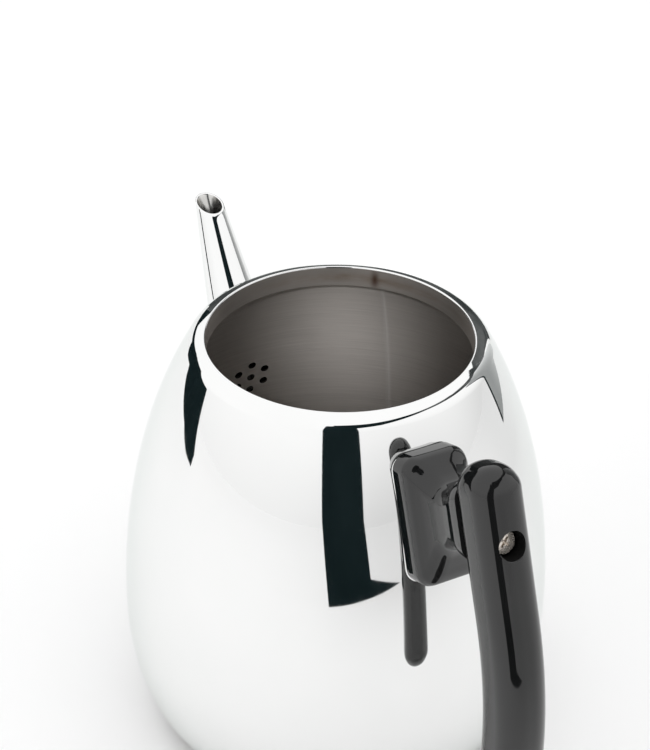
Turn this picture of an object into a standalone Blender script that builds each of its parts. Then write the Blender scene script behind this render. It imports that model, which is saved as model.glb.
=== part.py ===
"""Open stainless steel kettle with a tapered trunk spout and a one-screw plastic handle.

Units are metres and +Z is up. The origin is the centre of the flat face that the kettle stands on.
The spout points along +X, and the handle is opposite it, on -X. The kettle is symmetric about the XZ plane.
"""

import math

import bmesh
import bpy
from mathutils import Matrix, Vector

MM = 0.001

# Driving dimensions of the vessel
RIM_Z = 150 * MM            # height of the mouth's lip
MOUTH_R = 43 * MM           # inner radius of the mouth
BELLY_R = 72.9 * MM         # largest outer radius
BELLY_Z = 45 * MM           # height of the largest radius
SHOULDER_H = 137.5 * MM     # half height of the ellipse that shapes the wall above the belly
FOOT_H = 48 * MM            # half height of the ellipse that shapes the wall below the belly
FOOT_R = 50 * MM            # radius that the lower ellipse starts from
WALL_END_Z = 5 * MM         # lower edge of the wall
SHEET = 0.8 * MM            # thickness of the steel sheet
GAP = 0.3 * MM              # space left between pieces that touch

# Mouth ring
LIP_W = 3.5 * MM
LIP_H = 2.9 * MM
SKIRT_H = 7.5 * MM          # depth of the inner skirt below the top of the lip
RIM_ROUND = 0.5 * MM        # inner edge of the mouth
RIM_SLOPE = math.radians(18)    # by which the top of the ring falls outwards
JOINT_Z = RIM_Z - 3.3 * MM  # where the wall's ellipse gives way to the round shoulder

# Base
FLOOR_R = 61.7 * MM
FLOOR_Z = 5.8 * MM          # underside of the floor
SPREADER_R = 57.7 * MM
CAP_R = 59 * MM
CAP_EDGE = 1.5 * MM         # bend at the foot of the base cap

# Spout
SPOUT_TIP = Vector((101.0, 0, 149.3)) * MM
SPOUT_ROOT = Vector((58.5, 0, 86.5)) * MM
TIP_LEAN = math.radians(30.7)      # from vertical
ROOT_LEAN = math.radians(42)
SPOUT_PULL = 24 * MM               # length of the curve's end tangents
TIP_R = 4.86 * MM
SPOUT_TAPER = 0.1196               # growth of the radius for each unit of length
SPOUT_SHEET = 0.7 * MM
TIP_CUT = math.radians(12)         # the mouth of the spout slopes down towards the body

# Strainer: holes in the wall behind the spout
STRAINER_Z = 93.5 * MM
HOLE_R = 1.5 * MM
HOLE_PITCH = 6 * MM
RING_HOLES = 6

# Handle. Its own frame has its origin where the screw's axis leaves the grip, and Z outwards along that axis.
HANDLE_TILT = math.radians(21)     # rise of the screw's axis above horizontal
HANDLE_ORIGIN = Vector((-103.8, 0, 138.8)) * MM
FLANGE_W = 22 * MM                 # block's foot on the body
FLANGE_D = 41.3 * MM
FLANGE_CORNER = 5 * MM
FLANGE_CENTRE = -1.4 * MM
PLATE_MARGIN = 0.4 * MM            # how far the bracket plate shows round the block's foot
GRIP_W = 16.2 * MM
GRIP_T = 18.9 * MM
GRIP_CORNER = 7.2 * MM
GRIP_DOME = 7.4 * MM               # rounding of the grip's two ends
GRIP_ABOVE = 22.8 * MM             # from the screw up to the end of the grip
GRIP_BELOW = 24 * MM               # straight length under the screw
GRIP_BEND_R = 130 * MM
GRIP_BEND = math.radians(30)

# Handle block, a loft along the screw's axis. Each row is a section: distance from the foot, width, depth,
# centre's height over the screw, and corner radius, in millimetres.
BLOCK_FOOT = -47.5 * MM
BLOCK_SECTIONS = (
    (-12.0, 22.0, 41.3, -1.4, 5.0),
    (5.5, 22.0, 41.3, -1.4, 5.0),
    (8.0, 20.8, 39.8, -1.3, 5.2),
    (9.4, 18.8, 36.8, -1.0, 5.6),
    (11.4, 16.6, 31.0, -0.2, 5.8),
    (14.0, 15.2, 24.6, 0.9, 5.8),
    (17.0, 14.4, 20.4, 1.8, 5.4),
    (20.5, 14.2, 18.8, 2.6, 5.2),
    (24.0, 14.6, 20.6, 3.4, 5.4),
    (28.0, 15.4, 25.0, 4.2, 6.0),
    (34.0, 15.8, 26.4, 4.4, 6.0),
)

# Handle screw, M4 with a pan head
SCREW_R = 2 * MM
BORE_R = 2.3 * MM
HEAD_R = 3.7 * MM
HEAD_H = 2.4 * MM
HEAD_SIDE = 1.9 * MM                # height of the head's side, under its dome
HEAD_DEPTH = 5 * MM              # from the grip's face down to the head
WASHER_R = 3.6 * MM
WASHER_T = 0.9 * MM
RECESS_R = 4.4 * MM
SCREW_END = -44 * MM
BOSS_R = 4 * MM
BOSS_TOP = -36 * MM
BORE_END = -30 * MM                # where the cutter of the grip's bore stops, inside the block
DEEP = -62 * MM                    # well inside the vessel's wall

TURN_STEPS = 48
ROUND_STEPS = 24
MERGE = 0.00001


# ---- helpers

def clear_scene():
    for obj in list(bpy.data.objects):
        bpy.data.objects.remove(obj)


def new_collection(name):
    made = bpy.data.collections.new(name)
    bpy.context.scene.collection.children.link(made)
    return made


def new_material(name, color, roughness, metallic):
    made = bpy.data.materials.new(name)
    made.use_nodes = True
    shader = made.node_tree.nodes["Principled BSDF"]
    shader.inputs["Base Color"].default_value = (*color, 1)
    shader.inputs["Roughness"].default_value = roughness
    shader.inputs["Metallic"].default_value = metallic
    return made


def add_object(name, mesh, material=None):
    """A part when it has a material, otherwise a cutter."""
    obj = bpy.data.objects.new(name, mesh)
    if material:
        mesh.materials.append(material)
        PARTS.objects.link(obj)
    else:
        obj.hide_render = True
        obj.display_type = "WIRE"
        CUTTERS.objects.link(obj)
    return obj


def smooth(mesh, angle=30):
    mesh.shade_smooth()
    mesh.set_sharp_from_angle(angle=math.radians(angle))


def boolean(obj, cutter, operation="DIFFERENCE"):
    mod = obj.modifiers.new(cutter.name, "BOOLEAN")
    mod.operation = operation
    mod.object = cutter
    return mod


def turned(name, profile, material=None, closed=False, steps=TURN_STEPS):
    """A profile of (radius, height) points turned about Z. A closed profile is a ring's section."""
    mesh = bpy.data.meshes.new(name)
    edges = [(i, i + 1) for i in range(len(profile) - 1)]
    if closed:
        edges.append((len(profile) - 1, 0))
    mesh.from_pydata([(r, 0, z) for r, z in profile], edges, [])
    obj = add_object(name, mesh, material)
    screw = obj.modifiers.new("turn", "SCREW")
    screw.steps = steps
    screw.render_steps = steps
    screw.use_merge_vertices = True
    screw.merge_threshold = MERGE
    screw.use_smooth_shade = True
    return obj


def arc(centre, radius_x, radius_z, start, end, count):
    """Points on an ellipse, with the angles in degrees from +X."""
    points = []
    for i in range(count + 1):
        angle = math.radians(start + (end - start) * i / count)
        points.append((centre[0] + radius_x * math.cos(angle), centre[1] + radius_z * math.sin(angle)))
    return points


def loft(name, rings, material=None):
    """A closed solid through rings that have the same number of points, each listed anticlockwise."""
    bm = bmesh.new()
    rows = [[bm.verts.new(point) for point in ring] for ring in rings]
    count = len(rings[0])
    for low, high in zip(rows, rows[1:]):
        for i in range(count):
            j = (i + 1) % count
            bm.faces.new((low[i], low[j], high[j], high[i]))
    bm.faces.new(reversed(rows[0]))
    bm.faces.new(rows[-1])
    bmesh.ops.recalc_face_normals(bm, faces=bm.faces)
    mesh = bpy.data.meshes.new(name)
    bm.to_mesh(mesh)
    bm.free()
    smooth(mesh)
    return add_object(name, mesh, material)


def rounded_rectangle(width, depth, corner, per_corner=6):
    """Points of a rounded rectangle about the origin, anticlockwise."""
    corner = min(corner, width / 2 - 0.1 * MM, depth / 2 - 0.1 * MM)
    points = []
    for quarter, (sx, sy) in enumerate(((1, 1), (-1, 1), (-1, -1), (1, -1))):
        for i in range(per_corner):
            angle = math.radians(90 * (quarter + i / (per_corner - 1)))
            x = sx * (width / 2 - corner) + corner * math.cos(angle)
            y = sy * (depth / 2 - corner) + corner * math.sin(angle)
            points.append((x, y))
    return points


def cylinder(name, radius, low, high, frame, material=None, sides=ROUND_STEPS):
    """A cylinder along the frame's Z, from low to high."""
    bm = bmesh.new()
    place = frame @ Matrix.Translation((0, 0, (low + high) / 2))
    bmesh.ops.create_cone(bm, cap_ends=True, segments=sides, radius1=radius, radius2=radius,
                          depth=high - low, matrix=place)
    mesh = bpy.data.meshes.new(name)
    bm.to_mesh(mesh)
    bm.free()
    smooth(mesh)
    return add_object(name, mesh, material)


def cuboid(name, size, frame):
    bm = bmesh.new()
    bmesh.ops.create_cube(bm, size=1, matrix=frame @ Matrix.Diagonal((*size, 1)))
    mesh = bpy.data.meshes.new(name)
    bm.to_mesh(mesh)
    bm.free()
    return add_object(name, mesh)


# ---- the vessel's wall

def wall_points(offset=0.0):
    """Outer outline of the wall from the shoulder down to its lower edge, moved outwards by offset."""
    points = []
    start = math.asin((JOINT_Z - BELLY_Z) / SHOULDER_H)
    upper_count = 11
    for i in range(upper_count):
        angle = start * (1 - i / upper_count)
        points.append(ellipse_point(0, BELLY_R, SHOULDER_H, angle, offset))
    end = math.asin((BELLY_Z - WALL_END_Z) / FOOT_H)
    lower_count = 7
    for i in range(lower_count + 1):
        points.append(ellipse_point(FOOT_R, BELLY_R - FOOT_R, FOOT_H, -end * i / lower_count, offset))
    return points


def ellipse_point(centre_r, half_w, half_h, angle, offset):
    """A point on an ellipse that is centred at the belly's height, moved along its normal."""
    normal = Vector((math.cos(angle) / half_w, math.sin(angle) / half_h)).normalized()
    r = centre_r + half_w * math.cos(angle) + offset * normal.x
    z = BELLY_Z + half_h * math.sin(angle) + offset * normal.y
    return r, z


def wall_radius(z):
    """Outer radius of the wall above the belly."""
    return BELLY_R * math.sqrt(1 - ((z - BELLY_Z) / SHOULDER_H) ** 2)


def wall_slope(z):
    """Angle by which the wall above the belly leans in from vertical."""
    rise = (z - BELLY_Z) / SHOULDER_H
    return math.atan(BELLY_R / SHOULDER_H * rise / math.sqrt(1 - rise * rise))


def vessel_solid(name, offset):
    """A cutter that fills the vessel out to its outer surface plus offset."""
    outline = wall_points(offset)
    top = outline[0][1]
    bottom = outline[-1][1]
    return turned(name, [(0, top), *outline, (0, bottom)])


def shoulder():
    """Centre and radius of the arc that turns from the wall's ellipse in to the ring's slope."""
    lean = wall_slope(JOINT_Z)
    square = math.pi / 2 - RIM_SLOPE
    slope_normal = Vector((math.cos(square), math.sin(square)))
    inner_round = Vector((MOUTH_R + RIM_ROUND, RIM_Z - RIM_ROUND))
    joint = Vector((wall_radius(JOINT_Z), JOINT_Z))
    radius = (slope_normal.dot(inner_round - joint) + RIM_ROUND) / (1 - math.cos(square - lean))
    return joint - radius * Vector((math.cos(lean), math.sin(lean))), radius


def shoulder_points():
    """The wall's top, from just outside the mouth ring down to the ellipse."""
    centre, radius = shoulder()
    start = math.degrees(math.acos((MOUTH_R + LIP_W + 3 * GAP - centre.x) / radius))
    return arc(centre, radius, radius, start, math.degrees(wall_slope(JOINT_Z)), 4)[:-1]


def strainer_cutter():
    """One hole in the middle and a ring of six, square to the wall."""
    lean = wall_slope(STRAINER_Z)
    place = Matrix.Translation((wall_radius(STRAINER_Z), 0, STRAINER_Z))
    place = place @ Matrix.Rotation(math.pi / 2 - lean, 4, "Y")
    spots = [(0, 0)]
    for i in range(RING_HOLES):
        angle = 2 * math.pi * i / RING_HOLES
        spots.append((HOLE_PITCH * math.cos(angle), HOLE_PITCH * math.sin(angle)))
    bm = bmesh.new()
    for x, y in spots:
        bmesh.ops.create_cone(bm, cap_ends=True, segments=12, radius1=HOLE_R, radius2=HOLE_R,
                              depth=6 * MM, matrix=place @ Matrix.Translation((x, y, 0)))
    mesh = bpy.data.meshes.new("strainer_cutter")
    bm.to_mesh(mesh)
    bm.free()
    return add_object("strainer_cutter", mesh)


def make_body_shell(material):
    body = turned("body_shell", shoulder_points() + wall_points(), material)
    shell = body.modifiers.new("sheet", "SOLIDIFY")
    shell.thickness = SHEET
    shell.offset = -1
    shell.use_even_offset = True
    boolean(body, strainer_cutter())
    return body


def make_mouth_ring(material):
    """Rim that carries on from the shoulder, with a skirt that hangs inside the mouth."""
    centre, radius = shoulder()
    square = 90 - math.degrees(RIM_SLOPE)
    lip_r = MOUTH_R + LIP_W
    end = math.degrees(math.acos((lip_r - centre.x) / radius))
    rim = arc((MOUTH_R + RIM_ROUND, RIM_Z - RIM_ROUND), RIM_ROUND, RIM_ROUND, 180, square, 4)
    rim += arc(centre, radius, radius, square, end, 1)
    under = RIM_Z - LIP_H
    outer_r = MOUTH_R + SHEET
    skirt_z = RIM_Z - SKIRT_H
    rest = [(lip_r, under), (outer_r, under), (outer_r, skirt_z), (MOUTH_R, skirt_z)]
    return turned("mouth_ring", rim + rest, material, closed=True)


# ---- base

def make_floor(material):
    top = FLOOR_Z + SHEET
    return turned("floor_plate", [(0, top), (FLOOR_R, top), (FLOOR_R, FLOOR_Z), (0, FLOOR_Z)], material)


def make_spreader(material):
    low = SHEET + GAP
    high = FLOOR_Z - GAP
    outline = [(0, high), (SPREADER_R, high), (SPREADER_R, low), (0, low)]
    return turned("heat_spreader", outline, material)


def make_base_cap(material):
    top = FLOOR_Z - GAP
    inner_r = CAP_R - SHEET
    outline = [(0, SHEET), (inner_r, SHEET), (inner_r, top), (CAP_R, top)]
    outline += arc((CAP_R - CAP_EDGE, CAP_EDGE), CAP_EDGE, CAP_EDGE, 0, -90, 3)
    outline.append((0, 0))
    return turned("base_cap", outline, material)


# ---- spout

def spout_path(extra):
    """Centre line from the root to the tip, then on past the tip by extra."""
    root_way = Vector((math.sin(ROOT_LEAN), 0, math.cos(ROOT_LEAN)))
    tip_way = Vector((math.sin(TIP_LEAN), 0, math.cos(TIP_LEAN)))
    a = SPOUT_ROOT
    b = SPOUT_ROOT + SPOUT_PULL * root_way
    c = SPOUT_TIP - SPOUT_PULL * tip_way
    d = SPOUT_TIP
    count = 12
    points = []
    for i in range(count + 1):
        t = i / count
        s = 1 - t
        points.append(s ** 3 * a + 3 * s * s * t * b + 3 * s * t * t * c + t ** 3 * d)
    points.append(SPOUT_TIP + extra * tip_way)
    return points


def spout_tube(name, wall, extra, material=None):
    """A tapered tube along the spout's centre line, thinner than the outside by wall."""
    path = spout_path(extra)
    lengths = [0.0]
    for start, end in zip(path, path[1:]):
        lengths.append(lengths[-1] + (end - start).length)
    tip_at = lengths[-2]
    curve = bpy.data.curves.new(name, "CURVE")
    curve.dimensions = "3D"
    curve.bevel_depth = MM
    curve.bevel_resolution = ROUND_STEPS // 2 - 2
    curve.use_fill_caps = True
    spline = curve.splines.new("POLY")
    spline.points.add(len(path) - 1)
    for point, place, length in zip(spline.points, path, lengths):
        point.co = (*place, 1)
        point.radius = (TIP_R + SPOUT_TAPER * (tip_at - length) - wall) / MM
    bent = bpy.data.objects.new(name + "_curve", curve)
    CUTTERS.objects.link(bent)
    bpy.context.view_layer.update()
    evaluated = bent.evaluated_get(bpy.context.evaluated_depsgraph_get())
    mesh = bpy.data.meshes.new_from_object(evaluated)
    bpy.data.objects.remove(bent)
    bm = bmesh.new()
    bm.from_mesh(mesh)
    bmesh.ops.remove_doubles(bm, verts=bm.verts, dist=MERGE)
    bmesh.ops.recalc_face_normals(bm, faces=bm.faces)
    bm.to_mesh(mesh)
    bm.free()
    smooth(mesh)
    mesh.name = name
    return add_object(name, mesh, material)


def make_spout(material):
    """Tapered tube, cut to the vessel's surface at its root and by a sloping plane at its tip."""
    past_tip = 6 * MM
    spout = spout_tube("spout", 0.0, past_tip, material)
    boolean(spout, vessel_solid("vessel_for_spout", GAP))
    boolean(spout, spout_tube("spout_bore", SPOUT_SHEET, past_tip + 2 * MM))
    block = 30 * MM
    clear_of_ring = 0.05 * MM
    place = Matrix.Translation(SPOUT_TIP) @ Matrix.Rotation(-TIP_CUT, 4, "Y")
    place = place @ Matrix.Translation((0, 0, block / 2 + clear_of_ring))
    boolean(spout, cuboid("spout_tip_cutter", (block, block, block), place))
    return spout


# ---- handle

def handle_frame():
    """X across the handle, Y up along the grip, Z outwards along the screw."""
    out = Vector((-math.cos(HANDLE_TILT), 0, math.sin(HANDLE_TILT)))
    up = Vector((math.sin(HANDLE_TILT), 0, math.cos(HANDLE_TILT)))
    across = up.cross(out)
    frame = Matrix((across, up, out)).transposed().to_4x4()
    frame.translation = HANDLE_ORIGIN
    return frame


def flange_prism(name, margin, low, high, material=None):
    """The outline of the block's foot, extruded along the screw's axis."""
    outline = rounded_rectangle(FLANGE_W + 2 * margin, FLANGE_D + 2 * margin, FLANGE_CORNER + margin)
    rings = []
    for z in (low, high):
        rings.append([HANDLE @ Vector((x, y + FLANGE_CENTRE, z)) for x, y in outline])
    return loft(name, rings, material)


def make_bracket_plate(material):
    """Sheet steel pad, curved like the body, that the block sits on."""
    plate = flange_prism("bracket_plate", PLATE_MARGIN, DEEP, BOSS_TOP, material)
    boolean(plate, vessel_solid("vessel_outside_plate", GAP + SHEET), "INTERSECT")
    boolean(plate, vessel_solid("vessel_under_plate", GAP))
    return plate


def make_bracket_boss(material):
    """Threaded boss that takes the handle screw."""
    boss = cylinder("bracket_boss", BOSS_R, DEEP, BOSS_TOP, HANDLE, material)
    boolean(boss, vessel_solid("vessel_under_boss", 2 * GAP + SHEET))
    boolean(boss, cylinder("boss_bore", BORE_R, DEEP - MM, BORE_END, HANDLE))
    return boss


def grip_rings(grow):
    """Sections of the grip from its lower end to its top, each grown by grow."""
    dome_steps = (0.0, 0.12, 0.3, 0.55, 0.8)
    straight = GRIP_ABOVE + GRIP_BELOW
    bend = GRIP_BEND_R * GRIP_BEND
    length = straight + bend
    bend_count = 8
    stations = [GRIP_DOME * step for step in dome_steps]
    stations += [GRIP_DOME, 20 * MM, straight]
    stations += [straight + bend * i / bend_count for i in range(1, bend_count)]
    stations += [length - GRIP_DOME * step for step in reversed(dome_steps)]
    rings = []
    for station in reversed(stations):
        near_end = min(station, length - station, GRIP_DOME)
        shrink = GRIP_DOME - math.sqrt(GRIP_DOME ** 2 - (GRIP_DOME - near_end) ** 2)
        place = grip_place(station, grow)
        width = GRIP_W - 2 * shrink + 2 * grow
        depth = GRIP_T - 2 * shrink + 2 * grow
        section = rounded_rectangle(width, depth, GRIP_CORNER + grow)
        rings.append([place @ Vector((x, 0, z)) for x, z in section])
    return rings


def grip_place(station, grow):
    """Frame of the grip's section at a distance from its top: Y along the grip, towards the top."""
    straight = GRIP_ABOVE + GRIP_BELOW
    bent = max(0.0, station - straight)
    angle = bent / GRIP_BEND_R
    y = GRIP_ABOVE - min(station, straight) - GRIP_BEND_R * math.sin(angle)
    z = -GRIP_T / 2 - GRIP_BEND_R * (1 - math.cos(angle))
    if station == 0:
        y += grow
    return HANDLE @ Matrix.Translation((0, y, z)) @ Matrix.Rotation(angle, 4, "X")


def make_grip(material):
    grip = loft("handle_grip", grip_rings(0.0), material)
    floor = -(HEAD_DEPTH + HEAD_H + WASHER_T + 2 * GAP)
    boolean(grip, cylinder("recess_cutter", RECESS_R, floor, GRIP_T, HANDLE))
    boolean(grip, cylinder("grip_bore", BORE_R, BORE_END, floor + MM, HANDLE))
    return grip


def make_block(material):
    """Spacer between body and grip: a broad foot, a narrow neck, and a saddle under the grip."""
    rings = []
    for distance, width, depth, centre, corner in BLOCK_SECTIONS:
        outline = rounded_rectangle(width * MM, depth * MM, corner * MM)
        z = BLOCK_FOOT + distance * MM
        rings.append([HANDLE @ Vector((x, y + centre * MM, z)) for x, y in outline])
    block = loft("handle_block", rings, material)
    boolean(block, vessel_solid("vessel_under_block", 2 * GAP + SHEET))
    boolean(block, loft("grip_clearance", grip_rings(GAP)))
    boolean(block, cylinder("boss_pocket", BOSS_R + GAP, DEEP, BOSS_TOP + GAP, HANDLE))
    boolean(block, cylinder("block_bore", BORE_R, BOSS_TOP - MM, 0, HANDLE))
    return block


def make_screw(material):
    """M4 screw with a domed head and a cross recess. The thread is a plain cylinder."""
    top = -HEAD_DEPTH
    seat = top - HEAD_H
    outline = [(0, top)]
    outline += arc((0, seat + HEAD_SIDE), HEAD_R, HEAD_H - HEAD_SIDE, 75, 0, 4)
    outline += [(HEAD_R, seat), (SCREW_R, seat), (SCREW_R, SCREW_END + MM), (SCREW_R - 0.7 * MM, SCREW_END)]
    outline.append((0, SCREW_END))
    screw = turned("handle_screw", outline, material, steps=ROUND_STEPS)
    screw.matrix_world = HANDLE
    for name, angle in (("cross_a", 45), ("cross_b", 135)):
        place = HANDLE @ Matrix.Translation((0, 0, top)) @ Matrix.Rotation(math.radians(angle), 4, "Z")
        boolean(screw, cuboid(name, (4.2 * MM, 0.9 * MM, 3 * MM), place))
    return screw


def make_spring_washer(material):
    """Split ring under the screw's head."""
    top = -(HEAD_DEPTH + HEAD_H + GAP)
    low = top - WASHER_T
    section = [(BORE_R, top), (WASHER_R, top), (WASHER_R, low), (BORE_R, low)]
    washer = turned("spring_washer", section, material, closed=True, steps=ROUND_STEPS)
    washer.matrix_world = HANDLE
    split = HANDLE @ Matrix.Translation((WASHER_R, 0, top)) @ Matrix.Rotation(math.radians(20), 4, "X")
    boolean(washer, cuboid("washer_split", (4 * MM, 0.7 * MM, 6 * MM), split))
    return washer


def build():
    mirror_steel = new_material("mirror_steel", (0.78, 0.78, 0.77), 0.06, 1.0)
    satin_steel = new_material("satin_steel", (0.6, 0.59, 0.57), 0.35, 1.0)
    aluminium = new_material("aluminium", (0.7, 0.7, 0.71), 0.4, 1.0)
    black_plastic = new_material("black_plastic", (0.012, 0.012, 0.012), 0.12, 0.0)
    zinc_steel = new_material("zinc_steel", (0.66, 0.62, 0.58), 0.2, 1.0)
    make_body_shell(mirror_steel)
    make_mouth_ring(mirror_steel)
    make_floor(satin_steel)
    make_spreader(aluminium)
    make_base_cap(satin_steel)
    make_spout(mirror_steel)
    make_bracket_plate(mirror_steel)
    make_bracket_boss(satin_steel)
    make_block(black_plastic)
    make_grip(black_plastic)
    make_screw(zinc_steel)
    make_spring_washer(zinc_steel)


clear_scene()
PARTS = new_collection("kettle")
CUTTERS = new_collection("cutters")
HANDLE = handle_frame()
build()
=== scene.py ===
"""Looks of the open kettle: polished vessel and spout, satin inside, glossy black handle, white studio.

Lengths are in metres, or in millimetres times MM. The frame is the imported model's: origin at the centre of
the base, +Z up, spout along +X and handle along -X.
"""

import math

import bmesh
import bpy
from mathutils import Matrix, Vector


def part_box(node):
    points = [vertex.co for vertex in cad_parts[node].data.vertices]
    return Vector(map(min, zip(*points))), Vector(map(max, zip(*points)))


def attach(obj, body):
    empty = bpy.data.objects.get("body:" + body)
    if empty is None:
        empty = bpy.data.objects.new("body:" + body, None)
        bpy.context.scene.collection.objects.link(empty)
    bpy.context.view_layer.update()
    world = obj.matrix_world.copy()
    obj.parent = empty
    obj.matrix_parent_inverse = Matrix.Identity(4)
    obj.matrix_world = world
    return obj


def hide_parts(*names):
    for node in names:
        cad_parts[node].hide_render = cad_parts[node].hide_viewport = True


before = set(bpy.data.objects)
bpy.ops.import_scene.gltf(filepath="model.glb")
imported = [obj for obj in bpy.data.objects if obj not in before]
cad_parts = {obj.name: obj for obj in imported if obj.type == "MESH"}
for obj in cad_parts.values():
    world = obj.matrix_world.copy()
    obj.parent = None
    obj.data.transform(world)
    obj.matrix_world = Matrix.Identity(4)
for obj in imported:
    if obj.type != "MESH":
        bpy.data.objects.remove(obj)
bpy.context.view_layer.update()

MM = 0.001
ROOT = "root"

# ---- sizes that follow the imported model

RIM_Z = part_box("mouth_ring")[1].z
LIP_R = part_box("mouth_ring")[1].x
BELLY_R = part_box("body_shell")[1].x
WALL_END_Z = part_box("body_shell")[0].z
SKIRT_END_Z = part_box("mouth_ring")[0].z
FLOOR_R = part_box("floor_plate")[1].x
FLOOR_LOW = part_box("floor_plate")[0].z
FLOOR_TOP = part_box("floor_plate")[1].z
CAP_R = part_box("base_cap")[1].x
CAP_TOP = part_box("base_cap")[1].z

SHEET = 0.8 * MM            # wall, ring, floor and cap
LIP_W = 3.5 * MM
LIP_H = 2.9 * MM
MOUTH_R = LIP_R - LIP_W
BELLY_Z = 45 * MM           # height of the wall's largest radius
SHOULDER_H = 137.5 * MM     # half heights of the ellipses above and below it
FOOT_H = 48 * MM
FOOT_R = 50 * MM
JOINT_Z = RIM_Z - 3.3 * MM  # where the wall's ellipse gives way to the round shoulder
RIM_ROUND = 0.5 * MM        # inner edge of the mouth
RIM_SLOPE = math.radians(18)    # by which the rim falls outwards

SPOUT_TIP = Vector((101.0, 0, 149.3)) * MM  # ends of its centre line
SPOUT_ROOT = Vector((58.5, 0, 86.5)) * MM
TIP_LEAN = math.radians(30.7)       # from vertical
ROOT_LEAN = math.radians(42)
SPOUT_PULL = 24 * MM                # length of the curve's end tangents
SPOUT_RUN_ON = 60 * MM              # of the straight line on past the tip, for each unit of t
TIP_R = 4.86 * MM
SPOUT_TAPER = 0.1196                # growth of the radius for each unit of length
SPOUT_SHEET = 0.7 * MM
TIP_CUT = math.radians(12)          # the mouth of the spout slopes down towards the body

STRAINER_Z = 93.5 * MM
HOLE_R = 1.5 * MM
HOLE_PITCH = 6 * MM
RING_HOLES = 6

HANDLE_TILT = math.radians(21)      # rise of the screw's axis above horizontal
HANDLE_ORIGIN = Vector((-103.8, 0, 138.8)) * MM     # where the screw's axis leaves the grip
FLANGE_W = 22 * MM          # the block's foot, and the bracket pad under it
FLANGE_D = 41.3 * MM
FLANGE_CORNER = 5 * MM
FLANGE_CENTRE = -1.4 * MM
PAD_DROP = 0.4 * MM         # by which the bracket pad stands out below the block's foot
PAD_T = 0.45 * MM
PAD_GAP = 0.1 * MM          # under the pad
GRIP_W = 16.2 * MM
GRIP_T = 18.9 * MM
GRIP_CORNER = 7.2 * MM
GRIP_DOME = 7.4 * MM
GRIP_ABOVE = 22.8 * MM      # straight part above and below the screw's axis
GRIP_BELOW = 24 * MM
GRIP_BEND_R = 130 * MM
GRIP_BEND = math.radians(30)
HEAD_DEPTH = 5 * MM         # from the grip's face down to the head
HEAD_H = 2.4 * MM
HEAD_SIDE = 1.9 * MM        # height of the head's side, under its dome
HEAD_R = 3.7 * MM
CROSS_ANGLE = 47            # turn of the cross recess, in degrees
SCREW_R = 2 * MM
SCREW_END = -44 * MM
THREAD_PITCH = 0.7 * MM
THREAD_DEPTH = 0.35 * MM
BORE_R = 2.3 * MM
RECESS_R = 4.4 * MM
WASHER_R = 3.6 * MM
WASHER_T = 0.9 * MM
WASHER_GAP = 0.3 * MM       # under the head, and again between washer and recess floor

SEAM_ANGLE = math.radians(-44)      # the wall's vertical weld, from +X
SEAM_BEAD = 0.05 * MM               # height and half width of its bead
SEAM_SPREAD = 0.4 * MM
DRAW_LINES = (103.3 * MM, 79.4 * MM)    # faint rings that the forming tools left inside
DRAW_RIDGE = 0.1 * MM               # height and half width of each
DRAW_SPREAD = 0.2 * MM
TINT_Z = RIM_Z - 4 * MM             # heat tint of the weld that holds the mouth ring

# ---- the point of view

CAMERA_PLACE = Vector((-414.3, 225.5, 448.0)) * MM
VIEW_TURN = math.radians(28)        # the spout points this far to the left of the camera's heading
VIEW_PITCH = math.radians(33.62)    # downwards
VIEW_ROLL = math.radians(0.81)
LENS_MM = 84

# ---- the studio: directions are degrees round from the camera's side towards its right, and degrees up

TENT_TONE = 1.06            # overhead
HORIZON_TONE = 0.97
TENT_SINE = 0.35            # sine of the height from which the tent has its overhead tone
DULL_SIDES = ((35, 42, 0.27), (112, 26, 0.18))      # duller parts of the tent, and painted shade on the floor under them: turn, width, depth
DULL_HIGH = 0.25            # share of the depth that is left high up
DULL_SINE = 0.6             # sine of the height from which it is that little
FLOOR_SHADE_REACH = (0.10, 0.40)   # distances over which the floor's painted shade grows to its full depth
CARD_R = 0.6                # distance of the upright cards from the kettle's axis
CARD_LOW = 6 * MM           # heights of their edges
CARD_HIGH = 0.6
GREY_START = 117            # directions of the grey card's edges
GREY_END = 142
FRONT_D = 0.34              # distance of the front card from the kettle's axis
GAP_R = 0.9                 # distance of the gap cards from the middle of the mouth
FLOOR_REACH = 6.0
FLOOR_DROP = 0.2 * MM       # of the studio floor below the base
MOUTH_LAMP = (0.9, 120, 4)  # distance from what it lights, energy in watts, width of the cone in degrees
SCREW_LAMP = (0.5, 60, 1.4)     # distance from the grip's face

# gaps between the diffusers: turn, low edge, high edge
LEFT_GAP = ((-90, -10, -7), (-94, -10, -3), (-101, -9, 5), (-106, -8, 10), (-112, -8, 16), (-124, -8, 27),
            (-134, -6, 28), (-139, 6, 28), (-143, 13, 28), (-148, 11, 22), (-154, 8, 19), (-160, 6, 16))
BACK_GAP = ((-160, -6, 16), (-170, -5, 15), (-180, -5, 16), (-193, -5, 23), (-205, -6, 31), (-214, -6, 36))
OVERHEAD_GAP = ((-5, 40, 61), (8, 41, 63.5), (20, 45, 64), (35, 47.5, 64), (60, 53.5, 64), (90, 54, 61))
RIGHT_GAP = ((90, 54, 61), (108, 47, 56), (122, 39, 50), (138, 29, 42), (146, 24, 38))

# ---- mesh helpers

def new_object(name, data):
    obj = bpy.data.objects.new(name, data)
    bpy.context.scene.collection.objects.link(obj)
    return obj


def add_piece(name, mesh, materials, slot, *nodes):
    """A visible piece of the kettle that stands for CAD nodes."""
    obj = new_object(name, mesh)
    for material in materials:
        mesh.materials.append(material)
    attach(obj, ROOT)
    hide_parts(*nodes)
    return obj


def smooth(mesh, angle=35):
    mesh.shade_smooth()
    mesh.set_sharp_from_angle(angle=math.radians(angle))


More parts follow.
